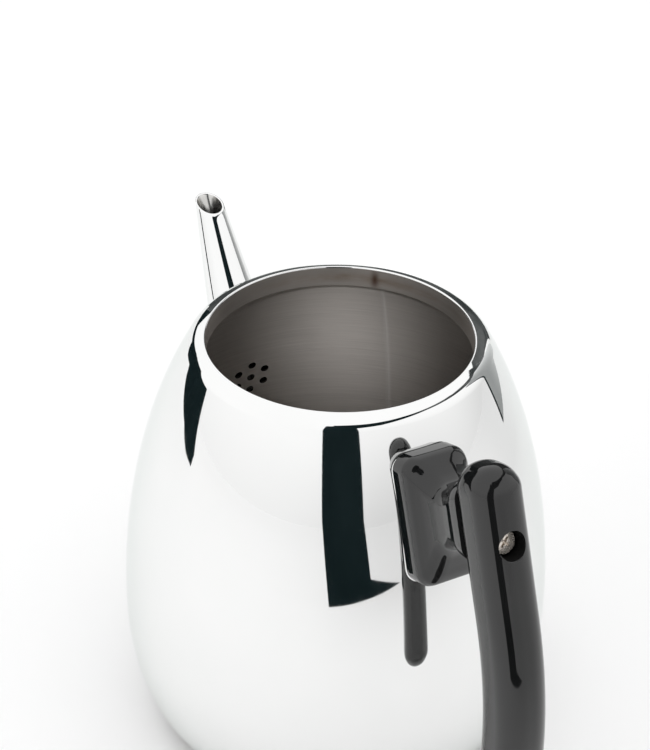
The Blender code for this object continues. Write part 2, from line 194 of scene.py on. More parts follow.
def ring_mesh(name, rings, closed=False, cap_low=False, cap_high=False, paint=None):
    """A surface through rings of points. A ring of one point is a pole.

    closed joins the last ring to the first. paint gives the material's number for the band after ring i.
    """
    bm = bmesh.new()
    rows = [[bm.verts.new(point) for point in ring] for ring in rings]
    pairs = list(zip(rows, rows[1:]))
    if closed:
        pairs.append((rows[-1], rows[0]))
    for number, (low, high) in enumerate(pairs):
        count = max(len(low), len(high))
        for i in range(count):
            j = (i + 1) % count
            corners = [low[i % len(low)], low[j % len(low)], high[j % len(high)], high[i % len(high)]]
            face = bm.faces.new(list(dict.fromkeys(corners)))
            if paint:
                face.material_index = paint(number)
    if cap_low:
        bm.faces.new(list(reversed(rows[0])))
    if cap_high:
        bm.faces.new(rows[-1])
    bmesh.ops.recalc_face_normals(bm, faces=bm.faces)
    mesh = bpy.data.meshes.new(name)
    bm.to_mesh(mesh)
    bm.free()
    smooth(mesh)
    return mesh


def two_looks(split):
    """Paints the bands before the split with the first material, and the others with the second."""
    return lambda number: 0 if number < split else 1


def turned(name, profile, steps=192, closed=False, place=None, paint=None, angles=None):
    """A profile of (radius, height) points turned about Z."""
    if angles is None:
        angles = [math.tau * i / steps for i in range(steps)]
    rings = []
    for radius, height in profile:
        if radius < 1e-7:
            rings.append([Vector((0, 0, height))])
        else:
            rings.append([Vector((radius * math.cos(a), radius * math.sin(a), height)) for a in angles])
    if place:
        rings = [[place @ point for point in ring] for ring in rings]
    return ring_mesh(name, rings, closed=closed, paint=paint)


def arc(centre, radius_x, radius_z, start, end, count):
    """Points on an ellipse, with the angles in degrees from +X."""
    points = []
    for i in range(count + 1):
        angle = math.radians(start + (end - start) * i / count)
        points.append((centre[0] + radius_x * math.cos(angle), centre[1] + radius_z * math.sin(angle)))
    return points


def rounded_rectangle(width, depth, corner, per_corner=14):
    corner = min(corner, width / 2 - 0.1 * MM, depth / 2 - 0.1 * MM)
    points = []
    for quarter, (sx, sy) in enumerate(((1, 1), (-1, 1), (-1, -1), (1, -1))):
        for i in range(per_corner):
            angle = math.radians(90 * (quarter + i / (per_corner - 1)))
            x = sx * (width / 2 - corner) + corner * math.cos(angle)
            y = sy * (depth / 2 - corner) + corner * math.sin(angle)
            points.append((x, y))
    return points


def cut(obj, *cutters):
    """Subtracts the cutters from a piece, and removes them."""
    for number, tool in enumerate(cutters):
        mod = obj.modifiers.new(f"cut{number}", "BOOLEAN")
        mod.operation = "DIFFERENCE"
        mod.object = tool
    bpy.context.view_layer.update()
    evaluated = obj.evaluated_get(bpy.context.evaluated_depsgraph_get())
    mesh = bpy.data.meshes.new_from_object(evaluated)
    obj.modifiers.clear()
    old = obj.data
    obj.data = mesh
    bpy.data.meshes.remove(old)
    mesh.name = obj.name
    smooth(mesh)
    for tool in cutters:
        bpy.data.objects.remove(tool)


def crossing(inside, low, high):
    """The value between low and high where inside(value) changes, by halving. inside(low) is true."""
    for _ in range(40):
        middle = (low + high) / 2
        if inside(middle):
            low = middle
        else:
            high = middle
    return (low + high) / 2


# ---- the vessel's shape

def ellipse_point(centre_r, half_w, half_h, angle, offset):
    normal = Vector((math.cos(angle) / half_w, math.sin(angle) / half_h)).normalized()
    r = centre_r + half_w * math.cos(angle) + offset * normal.x
    z = BELLY_Z + half_h * math.sin(angle) + offset * normal.y
    return r, z


def wall_radius(z):
    rise = (z - BELLY_Z) / SHOULDER_H
    return BELLY_R * math.sqrt(max(0.0, 1 - rise * rise))


def wall_slope(z):
    rise = (z - BELLY_Z) / SHOULDER_H
    return math.atan(BELLY_R / SHOULDER_H * rise / math.sqrt(1 - rise * rise))


def inside_wall(point, offset):
    """True where a point above the belly is nearer the axis than the wall's outside plus offset."""
    if point.z > BELLY_Z + SHOULDER_H * 0.95:
        return False
    height = min(point.z, RIM_Z)
    reach = wall_radius(height) + offset / math.cos(wall_slope(height))
    return math.hypot(point.x, point.y) < reach


def wall_outline(offset, upper_count=70, lower_count=22):
    """The wall from the shoulder down to its lower edge."""
    points = []
    start = math.asin((JOINT_Z - BELLY_Z) / SHOULDER_H)
    for i in range(upper_count):
        points.append(ellipse_point(0, BELLY_R, SHOULDER_H, start * (1 - i / upper_count), offset))
    end = math.asin((BELLY_Z - WALL_END_Z) / FOOT_H)
    for i in range(lower_count + 1):
        points.append(ellipse_point(FOOT_R, BELLY_R - FOOT_R, FOOT_H, -end * i / lower_count, offset))
    return points


def shoulder():
    """Centre and radius of the arc that turns from the wall's ellipse in to the rim's slope."""
    lean = wall_slope(JOINT_Z)
    square = math.pi / 2 - RIM_SLOPE
    slope_normal = Vector((math.cos(square), math.sin(square)))
    inner_round = Vector((MOUTH_R + RIM_ROUND, RIM_Z - RIM_ROUND))
    joint = Vector((wall_radius(JOINT_Z), JOINT_Z))
    radius = (slope_normal.dot(inner_round - joint) + RIM_ROUND) / (1 - math.cos(square - lean))
    return joint - radius * Vector((math.cos(lean), math.sin(lean))), radius


def shoulder_outline(offset, steps):
    """From the edge of the mouth ring out and down to the wall."""
    centre, radius = shoulder()
    start = math.degrees(math.acos((LIP_R - centre.x) / radius))
    reach = radius + offset
    return arc(centre, reach, reach, start, math.degrees(wall_slope(JOINT_Z)), steps)[:-1]


def rim_outline():
    """From the top of the skirt over the inner round and out along the slope to the ring's edge."""
    centre, radius = shoulder()
    square = 90 - math.degrees(RIM_SLOPE)
    end = math.degrees(math.acos((LIP_R - centre.x) / radius))
    points = arc((MOUTH_R + RIM_ROUND, RIM_Z - RIM_ROUND), RIM_ROUND, RIM_ROUND, 180, square, 14)
    return points + arc(centre, radius, radius, square, end, 6)


def with_draw_lines(outline):
    """The inner wall with a low ridge at each forming line."""
    heights = [z for _, z in outline]
    extra = []
    for line in DRAW_LINES:
        for shift in (-0.5, -0.25, 0.0, 0.25, 0.5):
            extra.append(line + shift * MM)
    result = []
    for z in sorted(heights + extra, reverse=True):
        above = [p for p in outline if p[1] >= z][-1]
        below = [p for p in outline if p[1] <= z][0]
        span = above[1] - below[1]
        share = 0.0 if span < 1e-9 else (above[1] - z) / span
        r = above[0] + (below[0] - above[0]) * share
        ridge = sum(math.exp(-((z - line) / DRAW_SPREAD) ** 2) for line in DRAW_LINES)
        result.append((r - DRAW_RIDGE * ridge, z))
    return result


def seam_angles(steps=192):
    """Even steps round the vessel, with finer ones at the weld seam."""
    even = [math.tau * i / steps for i in range(steps)]
    seam = SEAM_ANGLE % math.tau
    fine = [seam + math.radians(shift) for shift in (-0.7, -0.35, -0.15, 0.0, 0.15, 0.35, 0.7)]
    clear = [a for a in even if abs(a - seam) > math.radians(0.9)]
    return sorted(clear + fine)


def raise_seam(mesh):
    """Lifts the weld bead off the wall's inner side."""
    for vert in mesh.vertices:
        x, y, z = vert.co
        r = math.hypot(x, y)
        if z > JOINT_Z or z > BELLY_Z and r > wall_radius(z) - 0.5 * SHEET:
            continue
        across = (math.atan2(y, x) - SEAM_ANGLE) * r
        bead = SEAM_BEAD * math.exp(-(across / SEAM_SPREAD) ** 2)
        if bead > 0.001 * MM:
            vert.co.x -= x / r * bead
            vert.co.y -= y / r * bead


def strainer_cutter():
    """Seven round cutters square to the wall, whose cuts get the body's third material."""
    place = Matrix.Translation((wall_radius(STRAINER_Z), 0, STRAINER_Z))
    place = place @ Matrix.Rotation(math.pi / 2 - wall_slope(STRAINER_Z), 4, "Y")
    spots = [(0, 0)]
    for i in range(RING_HOLES):
        angle = math.tau * i / RING_HOLES
        spots.append((HOLE_PITCH * math.cos(angle), HOLE_PITCH * math.sin(angle)))
    bm = bmesh.new()
    for x, y in spots:
        bmesh.ops.create_cone(bm, cap_ends=True, segments=40, radius1=HOLE_R, radius2=HOLE_R,
                              depth=6 * MM, matrix=place @ Matrix.Translation((x, y, 0)))
    mesh = bpy.data.meshes.new("strainer_cutter")
    bm.to_mesh(mesh)
    bm.free()
    hole_wall = 2
    for face in mesh.polygons:
        face.material_index = hole_wall
    return new_object("strainer_cutter", mesh)


def make_body(outside, inside, hole_wall):
    outer = shoulder_outline(0, 24) + wall_outline(0)
    inner = shoulder_outline(-SHEET, 12) + with_draw_lines(wall_outline(-SHEET))
    profile = outer + list(reversed(inner))
    mesh = turned("body", profile, closed=True, paint=two_looks(len(outer)), angles=seam_angles())
    raise_seam(mesh)
    body = add_piece("body", mesh, [outside, inside, hole_wall], "polished_steel", "body_shell")
    cut(body, strainer_cutter())


def make_mouth_ring(outside, inside):
    """Rim that carries on from the wall without a step, over a skirt that hangs inside the mouth."""
    rim = rim_outline()
    under_z = RIM_Z - LIP_H
    outer_r = MOUTH_R + SHEET
    hem = SHEET / 2
    hem_arc = arc((MOUTH_R + hem, SKIRT_END_Z + hem), hem, hem, 0, -180, 8)
    low = SKIRT_END_Z + hem
    high = RIM_Z - RIM_ROUND
    skirt = [(MOUTH_R, low + (high - low) * i / 10) for i in range(1, 10)]
    profile = rim + [(LIP_R, under_z), (outer_r, under_z)] + hem_arc + skirt
    mesh = turned("mouth_rim", profile, closed=True, paint=two_looks(len(rim)))
    add_piece("mouth_rim", mesh, [outside, inside], "polished_steel", "mouth_ring")


# ---- base

def make_floor(material):
    """Inner floor, whose middle lies a little lower than its rim."""
    edge = 1.2 * MM
    dish = 0.35 * MM
    dish_r = 34 * MM
    slope_w = 6 * MM
    top = []
    for i in range(24):
        r = (FLOOR_R - edge) * i / 23
        step = 0.5 - 0.5 * math.cos(math.pi * min(1.0, max(0.0, (r - dish_r) / slope_w)))
        top.append((r, FLOOR_TOP - dish * (1 - step)))
    profile = top + [(FLOOR_R, FLOOR_TOP), (FLOOR_R, FLOOR_LOW), (0, FLOOR_LOW)]
    mesh = turned("floor", profile)
    add_piece("floor", mesh, [material], "satin_steel", "floor_plate")


def make_base_cap(material):
    """Pressed cap under the base, with a shallow coined ring in its face."""
    bend = 1.5 * MM
    inner_r = CAP_R - SHEET
    fillet = 0.5 * MM
    profile = [(0, SHEET), (inner_r - fillet, SHEET), (inner_r, SHEET + fillet)]
    profile += [(inner_r, CAP_TOP), (CAP_R, CAP_TOP)]
    profile += arc((CAP_R - bend, bend), bend, bend, 0, -90, 10)
    groove_r = 40 * MM
    groove_half_w = 1.2 * MM
    groove = 0.25 * MM
    for i in range(9):
        angle = math.pi * i / 8
        profile.append((groove_r + groove_half_w * math.cos(angle), groove * math.sin(angle)))
    profile.append((0, 0))
    mesh = turned("base", profile)
    add_piece("base", mesh, [material], "satin_steel", "base_cap")


# ---- spout

def spout_centre(t):
    """Place and direction on the centre line: t is 0 at the root and 1 at the tip, then runs straight on."""
    root_way = Vector((math.sin(ROOT_LEAN), 0, math.cos(ROOT_LEAN)))
    tip_way = Vector((math.sin(TIP_LEAN), 0, math.cos(TIP_LEAN)))
    if t >= 1:
        return SPOUT_TIP + (t - 1) * SPOUT_RUN_ON * tip_way, tip_way
    a = SPOUT_ROOT
    b = SPOUT_ROOT + SPOUT_PULL * root_way
    c = SPOUT_TIP - SPOUT_PULL * tip_way
    d = SPOUT_TIP
    s = 1 - t
    place = s ** 3 * a + 3 * s * s * t * b + 3 * s * t * t * c + t ** 3 * d
    way = 3 * s * s * (b - a) + 6 * s * t * (c - b) + 3 * t * t * (d - c)
    return place, way.normalized()


def spout_lengths(count=200):
    """Length of the centre line from t to the tip, as a table over even steps of t."""
    lengths = [0.0]
    for i in range(count):
        here = spout_centre(1 - i / count)[0]
        there = spout_centre(1 - (i + 1) / count)[0]
        lengths.append(lengths[-1] + (here - there).length)
    return lengths


def spout_point(t, angle, wall, lengths):
    """A point of the spout's surface, or of one that lies the wall's thickness inside it."""
    place, way = spout_centre(t)
    side = Vector((0, 1, 0))
    front = side.cross(way)
    steps = len(lengths) - 1
    at = min(max(0.0, 1 - t) * steps, steps - 1e-6)
    low = int(at)
    back = lengths[low] + (lengths[low + 1] - lengths[low]) * (at - low) if t < 1 else (1 - t) * SPOUT_RUN_ON
    radius = TIP_R + SPOUT_TAPER * back - wall
    return place + radius * (math.cos(angle) * side + math.sin(angle) * front)


def out_of_vessel(point):
    """Moves a point that has gone through the wall back to the middle of its thickness."""
    if not inside_wall(point, -0.5 * SHEET):
        return point
    reach = wall_radius(point.z) - 0.5 * SHEET / math.cos(wall_slope(point.z))
    level = Vector((point.x, point.y, 0)).normalized() * reach
    return Vector((level.x, level.y, point.z))


def spout_rings(wall, lengths, sides=96, count=70, flare=0.0):
    """Rings from just inside the vessel's wall to the sloping cut at the tip."""
    cut_normal = Vector((-math.sin(TIP_CUT), 0, math.cos(TIP_CUT)))
    columns = []
    for i in range(sides):
        angle = math.tau * i / sides

        def in_vessel(t):
            return inside_wall(spout_point(t, angle, wall, lengths), -0.5 * SHEET)

        def below_cut(t):
            return (spout_point(t, angle, wall, lengths) - SPOUT_TIP).dot(cut_normal) < 0

        root = crossing(in_vessel, 0.0, 0.8)
        tip = crossing(below_cut, 0.8, 1.4)
        foot = spout_point(root, angle, wall, lengths)
        column = []
        for step in range(count + 1):
            share = step / count
            share = share ** 1.6 if flare else share
            t = root + (tip - root) * share
            rise = (spout_point(t, angle, wall, lengths) - foot).length
            away = max(0.0, flare - rise)
            bead = flare - math.sqrt(max(0.0, flare * flare - away * away)) if flare else 0.0
            column.append(out_of_vessel(spout_point(t, angle, wall - bead, lengths)))
        columns.append(column)
    return [[column[step] for column in columns] for step in range(count + 1)]


def make_spout(outside, inside):
    """Tapered trunk with a small weld fillet at its root and a thin rounded edge at its mouth."""
    lengths = spout_lengths()
    outer = spout_rings(0.0, lengths, flare=1.6 * MM)
    inner = spout_rings(SPOUT_SHEET, lengths)
    crown = 0.12 * MM
    drop = Vector((0, 0, -0.15 * MM))
    edge = []
    for share in (0.2, 0.5, 0.8):
        lift = crown * math.sin(math.pi * share)
        ring = []
        for a, b in zip(outer[-1], inner[-1]):
            ring.append(a.lerp(b, share) + Vector((0, 0, lift - crown)))
        edge.append(ring)
    rings = outer[:-1] + [[p + drop for p in outer[-1]]] + edge
    rings += [[p + drop for p in inner[-1]]] + list(reversed(inner[:-1]))
    paint = two_looks(len(outer) + len(edge))
    mesh = ring_mesh("trunk_spout", rings, closed=True, paint=paint)
    add_piece("trunk_spout", mesh, [outside, inside], "polished_steel", "spout")


# ---- handle

def handle_frame():
    """X across the handle, Y up along the grip, Z outwards along the screw."""
    out = Vector((-math.cos(HANDLE_TILT), 0, math.sin(HANDLE_TILT)))
    up = Vector((math.sin(HANDLE_TILT), 0, math.cos(HANDLE_TILT)))
    place = Matrix((up.cross(out), up, out)).transposed().to_4x4()
    place.translation = HANDLE_ORIGIN
    return place


def on_wall(handle, x, y, offset):
    """The point over (x, y) of the handle's frame that lies the offset outside the wall."""
    z = crossing(lambda z: inside_wall(handle @ Vector((x, y, z)), offset), -75 * MM, -30 * MM)
    return handle @ Vector((x, y, z))


def make_bracket_plate(handle, material):
    """Curved pad of sheet steel, whose bright edge shows at the sides and bottom of the block's foot."""
    round_off = 0.15 * MM
    rings = []
    outline = rounded_rectangle(FLANGE_W, FLANGE_D, FLANGE_CORNER)
    centre = FLANGE_CENTRE - PAD_DROP
    for share in (0.25, 0.5, 0.75, 0.95):
        rings.append([on_wall(handle, share * x, share * y + centre, PAD_GAP) for x, y in outline])
    rings.append([on_wall(handle, x, y + centre, PAD_GAP) for x, y in outline])
    rings.append([on_wall(handle, x, y + centre, PAD_GAP + PAD_T - round_off) for x, y in outline])
    for share in (0.988, 0.97, 0.75, 0.5, 0.25):
        rings.append([on_wall(handle, share * x, share * y + centre, PAD_GAP + PAD_T) for x, y in outline])
    mesh = ring_mesh("bracket_pad", rings, cap_low=True, cap_high=True)
    add_piece("bracket_pad", mesh, [material], "polished_steel", "bracket_plate")


def between(table, at):
    """Smooth values between the rows of a table, whose first column rises."""
    rows = len(table)
    k = max(i for i in range(rows - 1) if table[i][0] <= at or i == 0)
    h = table[k + 1][0] - table[k][0]
    t = min(1.0, max(0.0, (at - table[k][0]) / h))
    values = []
    for column in range(1, len(table[0])):
        rate = (table[k + 1][column] - table[k][column]) / h
        before = after = rate
        if k > 0:
            before = (table[k][column] - table[k - 1][column]) / (table[k][0] - table[k - 1][0])
        if k < rows - 2:
            after = (table[k + 2][column] - table[k + 1][column]) / (table[k + 2][0] - table[k + 1][0])
        start = 0.0 if before * rate <= 0 else 2 * before * rate / (before + rate)
        end = 0.0 if after * rate <= 0 else 2 * after * rate / (after + rate)
        value = (table[k][column] * (1 + 2 * t) * (1 - t) ** 2 + table[k + 1][column] * t * t * (3 - 2 * t)
                 + h * start * t * (1 - t) ** 2 + h * end * t * t * (t - 1))
        values.append(value)
    return values


# distance from the foot, width, depth, centre and corner radius, in millimetres
BLOCK_SECTIONS = (
    (-12.0, 22.0, 41.3, -1.4, 5.0),
    (5.5, 22.0, 41.3, -1.4, 5.0),
    (8.0, 20.8, 39.8, -1.3, 5.2),
    (9.4, 18.8, 36.8, -1.0, 5.6),
    (11.4, 16.6, 31.0, -0.2, 5.8),
    (14.0, 15.2, 24.6, 0.9, 5.8),
    (17.0, 14.4, 20.4, 1.8, 5.4),
    (20.5, 14.2, 18.8, 2.6, 5.2),
    (24.0, 14.6, 20.6, 3.4, 5.4),
    (28.0, 15.4, 25.0, 4.2, 6.0),
    (34.0, 15.8, 26.4, 4.4, 6.0),
)
BLOCK_FOOT = -47.5 * MM
BLOCK_END = 31.0            # inside the grip


def block_ring(handle, distance):
    width, depth, centre, corner = between(BLOCK_SECTIONS, distance)
    outline = rounded_rectangle(width * MM, depth * MM, corner * MM)
    z = BLOCK_FOOT + distance * MM
    return [handle @ Vector((x, y + centre * MM, z)) for x, y in outline]


def make_block(handle, material):
    """Spacer from a broad foot on the bracket pad to a narrow neck and a saddle for the grip."""
    plate_face = PAD_GAP + PAD_T
    outline = rounded_rectangle(FLANGE_W, FLANGE_D, FLANGE_CORNER)
    seat = [on_wall(handle, x, y + FLANGE_CENTRE, plate_face) for x, y in outline]
    middle = [on_wall(handle, 0.5 * x, 0.5 * y + FLANGE_CENTRE, plate_face) for x, y in outline]
    rings = [middle, [on_wall(handle, 0.985 * x, 0.985 * y + FLANGE_CENTRE, plate_face) for x, y in outline]]
    rings.append([p + handle.to_3x3() @ Vector((0, 0, 0.3 * MM)) for p in seat])
    first = BLOCK_SECTIONS[1][0]
    count = 64
    for i in range(count + 1):
        rings.append(block_ring(handle, first + (BLOCK_END - first) * i / count))
    mesh = ring_mesh("handle_spacer", rings, cap_low=True, cap_high=True)
    add_piece("handle_spacer", mesh, [material], "black_plastic", "handle_block")


def grip_place(handle, station):
    """Frame of the grip's section at a distance from its top."""
    straight = GRIP_ABOVE + GRIP_BELOW
    bent = max(0.0, station - straight)
    angle = bent / GRIP_BEND_R
    y = GRIP_ABOVE - min(station, straight) - GRIP_BEND_R * math.sin(angle)
    z = -GRIP_T / 2 - GRIP_BEND_R * (1 - math.cos(angle))
    return handle @ Matrix.Translation((0, y, z)) @ Matrix.Rotation(angle, 4, "X")


def grip_rings(handle):
    length = GRIP_ABOVE + GRIP_BELOW + GRIP_BEND_R * GRIP_BEND
    dome_count = 16
    dome = [GRIP_DOME * (1 - math.cos(math.pi / 2 * i / dome_count)) for i in range(dome_count)]
    body_count = 60
    middle = [GRIP_DOME + (length - 2 * GRIP_DOME) * i / body_count for i in range(body_count + 1)]
    stations = dome + middle + [length - d for d in reversed(dome)]
    rings = []
    for station in stations:
        near_end = min(station, length - station, GRIP_DOME)
        shrink = GRIP_DOME - math.sqrt(GRIP_DOME ** 2 - (GRIP_DOME - near_end) ** 2)
        section = rounded_rectangle(GRIP_W - 2 * shrink, GRIP_T - 2 * shrink, GRIP_CORNER)
        place = grip_place(handle, station)
        rings.append([place @ Vector((x, 0, z)) for x, z in section])
    return rings


def make_grip(handle, material, recess_wall):
    mesh = ring_mesh("grip", grip_rings(handle), cap_low=True, cap_high=True)
    grip = add_piece("grip", mesh, [material, recess_wall], "black_plastic", "handle_grip")
    floor = -(HEAD_DEPTH + HEAD_H + WASHER_T + 2 * WASHER_GAP)
    round_off = 0.35 * MM
    round_z = -round_off - 0.05 * MM
    clear = 4 * MM
    profile = [(0, floor), (RECESS_R, floor), (RECESS_R, round_z)]
    profile += arc((RECESS_R + round_off, round_z), round_off, round_off, 180, 95, 6)[1:]
    profile += [(RECESS_R + round_off, clear), (0, clear)]

    def paint(number):
        return 1 if number < 2 else 0

    recess = turned("recess_cutter", profile, steps=72, place=handle, paint=paint)
    inner_end = -30 * MM
    bore_profile = [(0, inner_end), (BORE_R, inner_end), (BORE_R, floor + MM), (0, floor + MM)]
    bore = turned("bore_cutter", bore_profile, steps=36, place=handle)
    cut(grip, new_object("recess_cutter", recess), new_object("bore_cutter", bore))


def slot_cutter(handle, top, angle):
    """One slot of the cross recess: half length, half width and height of its bottom and mouth, in mm."""
    turn = handle @ Matrix.Translation((0, 0, top)) @ Matrix.Rotation(math.radians(angle), 4, "Z")
    bottom = (0.9, 0.28, -1.7)
    mouth = (2.2, 0.45, 0.6)
    rings = []
    for half_l, half_w, z in (bottom, mouth):
        corners = ((half_l, half_w), (-half_l, half_w), (-half_l, -half_w), (half_l, -half_w))
        rings.append([turn @ (Vector((x, y, z)) * MM) for x, y in corners])
    mesh = ring_mesh("slot_cutter", rings, cap_low=True, cap_high=True)
    return new_object("slot_cutter", mesh)


def make_screw(handle, material):
    """Pan head with a cross recess, on a threaded shank."""
    top = -HEAD_DEPTH
    seat = top - HEAD_H
    profile = [(0, top)]
    profile += arc((0, seat + HEAD_SIDE), HEAD_R, HEAD_H - HEAD_SIDE, 84, 0, 16)
    chamfer = 0.2 * MM
    profile += [(HEAD_R, seat + chamfer), (HEAD_R - chamfer, seat), (SCREW_R, seat)]
    turns = int((seat - 4 * MM - SCREW_END) / THREAD_PITCH)
    start = seat - 3 * MM
    for i in range(turns):
        z = start - i * THREAD_PITCH
        profile += [(SCREW_R, z), (SCREW_R - THREAD_DEPTH, z - THREAD_PITCH / 2)]
    profile += [(SCREW_R - 2 * THREAD_DEPTH, SCREW_END), (0, SCREW_END)]
    mesh = turned("screw", profile, steps=48, place=handle)
    screw = add_piece("screw", mesh, [material], "plated_screw", "handle_screw")
    for angle in (CROSS_ANGLE, CROSS_ANGLE + 90):
        cut(screw, slot_cutter(handle, top, angle))


def make_washer(handle, material):
    """Split spring ring under the head: one turn of a flat wire that rises a little."""
    top = -(HEAD_DEPTH + HEAD_H + WASHER_GAP)
    low = top - WASHER_T
    rise = 0.25 * MM
    count = 60
    gap = math.radians(10)
    rings = []
    for i in range(count + 1):
        angle = gap + (math.tau - 2 * gap) * i / count
        lift = rise * (i / count - 0.5)
        ring = []
        for r, z in ((BORE_R, low), (WASHER_R, low), (WASHER_R, top), (BORE_R, top)):
            ring.append(handle @ Vector((r * math.cos(angle), r * math.sin(angle), z + lift)))
        rings.append(ring)
    mesh = ring_mesh("lock_washer", rings, cap_low=True, cap_high=True)
    add_piece("lock_washer", mesh, [material], "plated_screw", "spring_washer")


# ---- materials

class Nodes:
    """Short calls for building the node tree of a material or of the world."""

    def __init__(self, owner, shader="Principled BSDF"):
        owner.use_nodes = True
        self.owner = owner
        self.tree = owner.node_tree
        self.shader = self.tree.nodes[shader]

    def add(self, kind, **settings):
        node = self.tree.nodes.new(kind)
        for key, value in settings.items():
            setattr(node, key, value)
        return node

    def join(self, output, target):
        self.tree.links.new(output, target)

    def place(self, stretch=(1, 1, 1)):
        """The point's place in the kettle's frame, in metres, stretched."""
        coords = self.add("ShaderNodeTexCoord")
        mapping = self.add("ShaderNodeMapping")
        mapping.inputs["Scale"].default_value = stretch
        self.join(coords.outputs["Object"], mapping.inputs["Vector"])
        return mapping.outputs["Vector"]

    def axes(self):
        """The three coordinates of the point's place."""
        coords = self.add("ShaderNodeTexCoord")
        split = self.add("ShaderNodeSeparateXYZ")
        self.join(coords.outputs["Object"], split.inputs["Vector"])
        return split.outputs

    def along(self, vector, direction):
        """How far the vector reaches in a direction."""
        node = self.add("ShaderNodeVectorMath", operation="DOT_PRODUCT")
        self.join(vector, node.inputs[0])
        node.inputs[1].default_value = direction
        return node.outputs["Value"]

    def lobe(self, vector, turn, rise, width):
        """1 in a direction of the studio, falling to 0 over about the width (in degrees) round it."""
        ahead = self.along(vector, toward(turn, rise))
        sharpness = 2 / math.radians(width) ** 2
        return self.math("EXPONENT", self.math("MULTIPLY", self.math("SUBTRACT", ahead, 1.0), sharpness))

    def dullness(self, vector):
        """What the studio's duller sides take off the white in a direction."""
        total = 0.0
        for turn, width, depth in DULL_SIDES:
            total = self.math("MULTIPLY_ADD", self.lobe(vector, turn, 0, width), depth, total)
        return total

    def noise(self, scale, stretch=(1, 1, 1), detail=3.0, roughness=0.5):
        node = self.add("ShaderNodeTexNoise")
        node.inputs["Scale"].default_value = scale
        node.inputs["Detail"].default_value = detail
        node.inputs["Roughness"].default_value = roughness
        self.join(self.place(stretch), node.inputs["Vector"])
        return node.outputs["Fac"]

    def spread(self, value, low, high, start=0.3, end=0.7):
        """A value between start and end made into one between low and high."""
        node = self.add("ShaderNodeMapRange")
        node.inputs["From Min"].default_value = start
        node.inputs["From Max"].default_value = end
        node.inputs["To Min"].default_value = low
        node.inputs["To Max"].default_value = high
        self.join(value, node.inputs["Value"])
        return node.outputs["Result"]

    def math(self, operation, first, second=None, third=None):
        node = self.add("ShaderNodeMath", operation=operation)
        for slot, value in zip(node.inputs, (first, second, third)):
            if value is None:
                continue
            if isinstance(value, (int, float)):
                slot.default_value = value
            else:
                self.join(value, slot)
        return node.outputs["Value"]

    def hump(self, value, centre, width):
        """1 at the centre, falling to 0 over about the width on both sides."""
        away = self.math("DIVIDE", self.math("SUBTRACT", value, centre), width)
        return self.math("EXPONENT", self.math("MULTIPLY", self.math("MULTIPLY", away, away), -1.0))

    def mix(self, share, first, second):
        node = self.add("ShaderNodeMix", data_type="RGBA")
        sockets = [s for s in node.inputs if s.type == "RGBA"]
        for socket, value in zip(sockets, (first, second)):
            if isinstance(value, tuple):
                socket.default_value = (*value, 1)
            else:
                self.join(value, socket)
        if isinstance(share, float):
            node.inputs["Factor"].default_value = share
        else:
            self.join(share, node.inputs["Factor"])
        return [s for s in node.outputs if s.type == "RGBA"][0]

    def bump(self, height, distance, strength=1.0):
        node = self.add("ShaderNodeBump")
        node.inputs["Distance"].default_value = distance
        node.inputs["Strength"].default_value = strength
        self.join(height, node.inputs["Height"])
        self.join(node.outputs["Normal"], self.shader.inputs["Normal"])

    def turned_finish(self):
        """Lets an anisotropic finish follow the turning lines round the kettle's axis."""
        tangent = self.add("ShaderNodeTangent", direction_type="RADIAL", axis="Z")
        self.join(tangent.outputs["Tangent"], self.shader.inputs["Tangent"])

    def set(self, **values):
        for key, value in values.items():
            socket = self.shader.inputs[key.replace("_", " ")]
            if isinstance(value, tuple):
                socket.default_value = (*value, 1)
            elif isinstance(value, (int, float)):
                socket.default_value = value
            else:
                self.join(value, socket)


def look(name):
    return Nodes(bpy.data.materials.new(name))


def polished_steel():
    """Mirror finish: slightly uneven sheet, fine polishing haze."""
    n = look("polished_steel")
    cloud = n.noise(45, detail=2)
    n.set(Metallic=1.0, Base_Color=n.mix(cloud, (0.90, 0.905, 0.90), (0.93, 0.93, 0.925)))
    n.set(Specular_Tint=(0.88, 0.90, 0.89))
    haze = n.noise(260, stretch=(1, 1, 0.25), detail=5)
    n.set(Roughness=n.spread(haze, 0.02, 0.045))
    n.bump(n.noise(55, stretch=(1, 1, 0.5), detail=1), 0.03 * MM, 0.6)
    return n.owner


